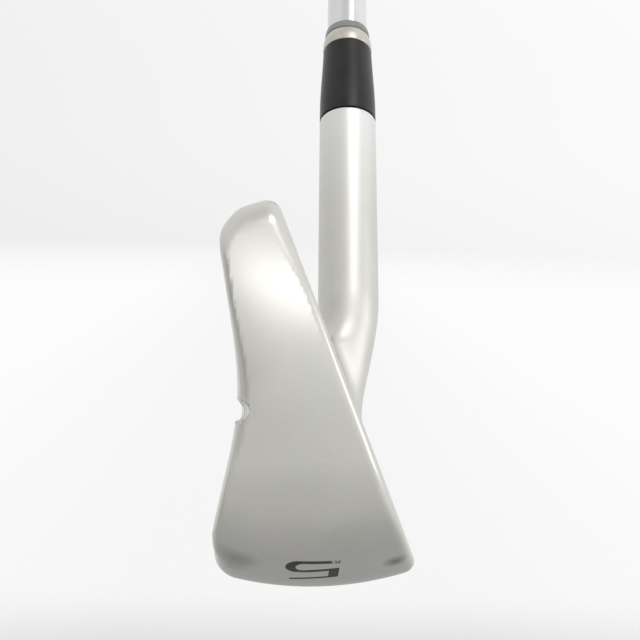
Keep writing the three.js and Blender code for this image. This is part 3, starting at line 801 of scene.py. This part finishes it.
def ferrule_pieces():
    r, foot = HOSEL_RADIUS, HOSEL_TOP + FERRULE["gap"]
    top = HOSEL_TOP + FERRULE["collar"]
    bore = FERRULE["bore"]
    swell = [(r - 0.7 * smoothstep(t, 0.15, 1.1) - 0.05 * t, foot + t * (top - foot))
             for t in np.linspace(0, 1, 24)]
    collar = turned("ferrule_collar_fine", [(bore, foot)] + soften_ends(swell, 0.25) + [(bore, top)], 128)
    black = ferrule_plastic("collar_black", (0.006, 0.006, 0.006), (0.012, 0.012, 0.012))
    adopt(collar, ["ferrule_collar"], black)
    foot, top = top + FERRULE["gap"], top + FERRULE["trim"]
    sides = [(r - 0.62, foot), (r - 0.72, foot + 2.0), (r - 1.05, top - 0.5), (r - 1.25, top)]
    trim = turned("ferrule_trim_fine", fillet([(bore, foot)] + sides + [(bore, top)], 0.3), 128)
    adopt(trim, ["ferrule_trim_ring"], trim_silver())
    foot, top = top + FERRULE["gap"], top + FERRULE["ring"]
    sides = [(r - 1.1, foot), (r - 1.2, foot + 1.2), (r - 1.4, top)]
    ring = turned("ferrule_ring_fine", fillet([(bore, foot)] + sides + [(bore, top)], 0.25), 128)
    grey = ferrule_plastic("ring_dark", (0.26, 0.26, 0.25), (0.31, 0.31, 0.30))
    adopt(ring, ["ferrule_top_ring"], grey)


def soften_ends(side, radius):
    """Rounds the two ends of a side profile."""
    (r0, s0), (r1, s1) = side[0], side[-1]
    start = curve((r0 - radius, s0), (r0, s0), (r0, s0 + radius))
    end = curve((r1, s1 - radius), (r1, s1), (r1 - radius, s1))
    middle = [p for p in side if s0 + radius < p[1] < s1 - radius]
    return [(r0 - radius, s0)] + start + middle + [(r1, s1 - radius)] + end


SHAFT = dict(tip=4.7, butt=7.62, wall=0.6, first=230, pitch=38.1, steps=13, run=1.6)


def shaft_piece():
    tip = HOSEL_TOP - BORE_DEPTH + 1
    butt = CLUB_LENGTH - GRIP["cap"] - GRIP["gap"]
    grow = (SHAFT["butt"] - SHAFT["tip"]) / SHAFT["steps"]
    outer = [(SHAFT["tip"], s) for s in np.linspace(tip, SHAFT["first"] - 12, 10)]
    for i in range(SHAFT["steps"]):
        start = SHAFT["first"] + i * SHAFT["pitch"] - SHAFT["run"]
        low = SHAFT["tip"] + i * grow
        outer += [(low + grow * smoothstep(t, 0, 1), start + t * SHAFT["run"]) for t in np.linspace(0, 1, 7)]
        outer.append((low + grow, start + SHAFT["pitch"] / 2))
    outer.append((SHAFT["butt"], butt))
    wide, narrow = SHAFT["butt"] - SHAFT["wall"], SHAFT["tip"] - SHAFT["wall"]
    last_step = SHAFT["first"] + SHAFT["steps"] * SHAFT["pitch"]
    inner = [(wide, butt), (wide, last_step), (narrow, SHAFT["first"] - 20), (narrow, tip)]
    shaft = turned("shaft_fine", outer + inner, 96)
    return adopt(shaft, ["shaft"], polished_steel())


GRIP = dict(length=268, bore=7.98, cap=4, gap=0.1)
TREAD_ZONES, TREAD_RUN = [(12, 86), (96, 168), (178, 246)], 3
GRIP_RINGS = (6, 9, 91, 94, 173, 176, 252, 255)
GRIP_SIDE = [(0, 8.9), (60, 9.4), (130, 10.2), (195, 11.2), (235, 12.0), (257.9, 13.0), (263.9, 13.3)]


def grip_piece():
    """A tapered rubber sleeve with a moulded tread, smooth bands between its zones."""
    mouth = CLUB_LENGTH - GRIP["length"]
    top = CLUB_LENGTH - GRIP["cap"] - GRIP["gap"]
    along = np.linspace(0, top - mouth, 520)
    stations, radii = zip(*GRIP_SIDE)
    side = np.interp(along, stations, radii)
    around = 192
    angles = np.linspace(0, 2 * math.pi, around, endpoint=False)
    a, s = np.meshgrid(angles, along)
    cross = np.minimum(np.abs(np.sin(12 * a + s * 0.55)), np.abs(np.sin(12 * a - s * 0.55)))
    tread = -0.28 * (1 - smoothstep(cross, 0.05, 0.32))
    zones = sum(smoothstep(s, start, start + TREAD_RUN) * (1 - smoothstep(s, end, end + TREAD_RUN))
                for start, end in TREAD_ZONES)
    rings = -0.35 * sum(np.exp(-((s - c) / 0.7) ** 2) for c in GRIP_RINGS)
    mouth_round = -0.9 * (1 - smoothstep(s, 0, 1.6)) ** 2
    outer = side[:, None] + tread * zones + rings + mouth_round
    ring = np.cos(a)[..., None] * ACROSS_SHAFT + np.sin(a)[..., None] * np.array([0, 1, 0])
    skin = outer[..., None] * ring + (mouth + s)[..., None] * SHAFT_DIR
    bore = turned_points([(GRIP["bore"], end) for end in (top, (top + mouth) / 2, mouth)], around)
    rows = np.concatenate([skin, bore])
    count = len(rows)
    j = np.arange(around)
    beside = (j + 1) % around
    faces = []
    for i in range(count):
        here, above = i * around, (i + 1) % count * around
        faces.append(np.stack([here + j, here + beside, above + beside, above + j], 1))
    grip = make_object("grip_fine", to_row(rows.reshape(-1, 3)), np.concatenate(faces))
    outward(grip)
    crease_normals(grip, math.radians(50))
    black = rubber("grip_rubber", (0.016, 0.016, 0.017), (0.030, 0.030, 0.031), 1400)
    return adopt(grip, ["grip_sleeve"], black)


def cap_piece():
    r, end = 13.3, CLUB_LENGTH
    plug = 6.94
    vent = 1.6
    profile = [(vent, end - 10), (plug, end - 10), (plug, end - 4), (r, end - 4), (r, end - 1.8)]
    profile += [(r - 0.6, end - 0.6), (r - 1.8, end), (9.5, end), (9.2, end - 0.35), (8.6, end - 0.35)]
    profile += [(8.3, end), (vent + 0.3, end), (vent, end - 0.3)]
    cap = turned("grip_cap_fine", fillet(profile, 0.25, 3), 128)
    black = rubber("cap_rubber", (0.022, 0.022, 0.023), (0.038, 0.038, 0.039), 1800)
    return adopt(cap, ["grip_cap"], black)


BAND = dict(foot=616, top=642, step=11, clearance=0.08, film=0.15, edge=0.06)


def band_piece():
    grown = (SHAFT["butt"] - SHAFT["tip"]) * BAND["step"] / SHAFT["steps"]
    inner = SHAFT["tip"] + grown + BAND["clearance"]
    outer = inner + BAND["film"]
    corners = [(inner, BAND["foot"]), (outer, BAND["foot"]), (outer, BAND["top"]), (inner, BAND["top"])]
    profile = fillet(corners, BAND["edge"], 3)
    band = turned("shaft_band_fine", profile, 96)
    film = plain_fill("band_film", (0.030, 0.034, 0.040), (0.045, 0.050, 0.058), 500, 0.28)
    return adopt(band, ["shaft_band"], film)


def dress_hidden_nodes():
    """The badge in the cavity and the pieces under other pieces keep their CAD shape."""
    finishes = {
        "cavity_badge": badge_finish(),
        "badge_adhesive": plain_fill("foam_pad", (0.62, 0.60, 0.53), (0.74, 0.72, 0.65), 900, 0.85),
        "tip_weight": plain_fill("brass_plug", (0.60, 0.43, 0.18), (0.72, 0.54, 0.27), 700, 0.32, 1.0),
        "hosel_epoxy": plain_fill("epoxy", (0.40, 0.37, 0.28), (0.50, 0.46, 0.36), 400, 0.35),
        "grip_tape": plain_fill("tape_paper", (0.60, 0.56, 0.46), (0.70, 0.66, 0.56), 1200, 0.8),
    }
    for name, material in finishes.items():
        slots = frame["nodes"][name].data.materials
        slots.clear()
        slots.append(material)


# ---- stage, light and camera ---------------------------------------------------------------------------
FLOOR_DROP, FLOOR_REACH = 0.14, 6.0
LAMP_DISTANCE = 1.6
PHOTO_SIDE = 640
# Painted shadow on the floor: grey by position along X, darkest just under the club
SHADOW_UNDER_CLUB = [(-0.32, 0.84), (-0.21, 0.60), (-0.15, 0.45), (-0.02, 0.41), (0.05, 0.47), (0.155, 0.60),
              (0.5, 0.70), (1, 0.76)]
TOE_SIDE = [(-1, 0.50), (-0.35, 0.66), (-0.07, 0.77), (0.04, 0.88), (0.15, 0.97), (0.3, 1.02),
            (0.8, 0.96), (0.93, 0.76), (1, 0.84)]
HEEL_SIDE = [(-1, 0.50), (-0.5, 0.66), (-0.2, 0.84), (0.1, 0.91), (0.5, 0.96), (0.85, 0.98), (1, 0.84)]
BACK_TO_FRONT = [(-1, 0.90), (-0.86, 0.60), (-0.6, 0.48), (-0.35, 0.52), (-0.15, 0.80), (0, 1.0),
                 (0.3, 1.02), (1, 1.0)]


def studio_floor():
    z = cad_box[0][2] - FLOOR_DROP
    around, rings = 96, 24
    points = [(0, 0, z)]
    for i in range(rings):
        radius = FLOOR_REACH * ((i + 1) / rings) ** 2
        angles = [2 * math.pi * j / around for j in range(around)]
        points += [(radius * math.cos(a), radius * math.sin(a), z) for a in angles]
    faces = [(0, 1 + j, 1 + (j + 1) % around) for j in range(around)]
    for i in range(rings - 1):
        a, b = 1 + i * around, 1 + (i + 1) * around
        faces += [(a + j, b + j, b + (j + 1) % around, a + (j + 1) % around) for j in range(around)]
    floor = make_object("floor", points, faces)
    m = Nodes("floor_paper_and_painted_shadow")
    from_club = m.distance((0, 0, z))
    split = m.add("ShaderNodeSeparateXYZ", Vector=m.place)
    # Painted shadow: the floor's colour darkens under the club
    painted_shadow = m.steps(split.outputs["X"], SHADOW_UNDER_CLUB)
    fibre = m.noise(400, 3)
    pale = m.mix(fibre, (0.88, 0.88, 0.88), (0.91, 0.91, 0.91))
    across, ahead = split.outputs["Y"], split.outputs["X"]
    face_side = m.math("MULTIPLY", m.ramp(across, 0, 1, 0.08, 0.35), m.ramp(ahead, 1, 0, 0.2, 0.5))
    back_side = m.math("MULTIPLY", m.ramp(across, 1, 0, -0.35, -0.08), m.ramp(ahead, 1, 0, -0.15, 0.05))
    beside = m.math("MAXIMUM", face_side, back_side)
    paper_and_shadow = m.mix(beside, painted_shadow, pale)
    # The floor glows with this colour, painted shadow included: a painted glow, though the floor is no lamp
    m.surface(Base_Color=paper_and_shadow, Roughness=0.9, Emission_Color=paper_and_shadow, Emission_Strength=0.17)
    m.surface(Alpha=m.ramp(from_club, 1, 0, 2.2, 5.5))
    floor.data.materials.append(m.material)


def studio_world():
    """Soft grey surroundings: paler high up, darker low on the viewer's side, brighter towards +Y."""
    world = bpy.data.worlds.new("studio")
    bpy.context.scene.world = world
    world.use_nodes = True
    m = Nodes(tree=world.node_tree)
    split = m.add("ShaderNodeSeparateXYZ", Vector=m.around)
    across, height = split.outputs["Y"], split.outputs["Z"]
    near = m.steps(height, TOE_SIDE)
    far = m.steps(height, HEEL_SIDE)
    room = m.steps(across, BACK_TO_FRONT)
    room = m.mix(m.ramp(height, 0, 1, 0.35, 0.6), room, (1.0, 1.0, 1.0))
    side = m.ramp(split.outputs["X"], 0, 1, -0.35, 0.35)
    tone = m.mix(side, far, m.mix(1.0, near, room, "MULTIPLY"))
    lean = m.math("MULTIPLY_ADD", across, 0.14, 1.0)
    background = world.node_tree.nodes["Background"]
    m.put(background.inputs["Color"], tone)
    m.put(background.inputs["Strength"], lean)


def softbox(name, direction, size, power):
    light = bpy.data.lights.new(name, "AREA")
    light.shape = "RECTANGLE"
    light.size, light.size_y = size
    light.energy = power
    lamp = bpy.data.objects.new(name, light)
    azimuth, elevation = (math.radians(v) for v in direction)
    flat = math.cos(elevation)
    away = Vector((math.cos(azimuth) * flat, math.sin(azimuth) * flat, math.sin(elevation)))
    lamp.location = away * LAMP_DISTANCE
    lamp.rotation_mode = "QUATERNION"
    lamp.rotation_quaternion = away.to_track_quat("Z", "Y")
    lamp.visible_camera = False
    lamp.visible_diffuse = False
    bpy.context.collection.objects.link(lamp)


def studio_camera():
    eye = (178.7, -14.7, 51.2)
    yaw, pitch, roll = (math.radians(v) for v in (2.575, 6.42, 1.864))
    focal = 939.2 / PHOTO_SIDE
    ahead = Vector((-math.cos(pitch) * math.cos(yaw), math.cos(pitch) * math.sin(yaw), -math.sin(pitch)))
    right = ahead.cross(Vector((0, 0, 1))).normalized()
    up = right.cross(ahead)
    right, up = math.cos(roll) * right + math.sin(roll) * up, math.cos(roll) * up - math.sin(roll) * right
    data = bpy.data.cameras.new("camera")
    data.sensor_width = 36
    data.lens = focal * data.sensor_width
    data.clip_start, data.clip_end = 0.005, 50
    camera = bpy.data.objects.new("camera", data)
    turn = Matrix((right, up, -ahead)).transposed().to_4x4()
    camera.matrix_world = Matrix.Translation(Vector(to_row(eye))) @ turn
    bpy.context.collection.objects.link(camera)
    bpy.context.scene.camera = camera


bpy.context.scene.view_settings.view_transform = "Standard"
studio_camera()
studio_world()
studio_floor()
softbox("toe_window", (4, 29), (0.54, 0.2), 1.0)
softbox("overhead", (33, 62), (0.7, 0.46), 3.5)
softbox("face_side", (75, 4), (0.7, 1.5), 3.5)

head_piece()
enamel_piece()
ferrule_pieces()
shaft_piece()
grip_piece()
cap_piece()
band_piece()
dress_hidden_nodes()
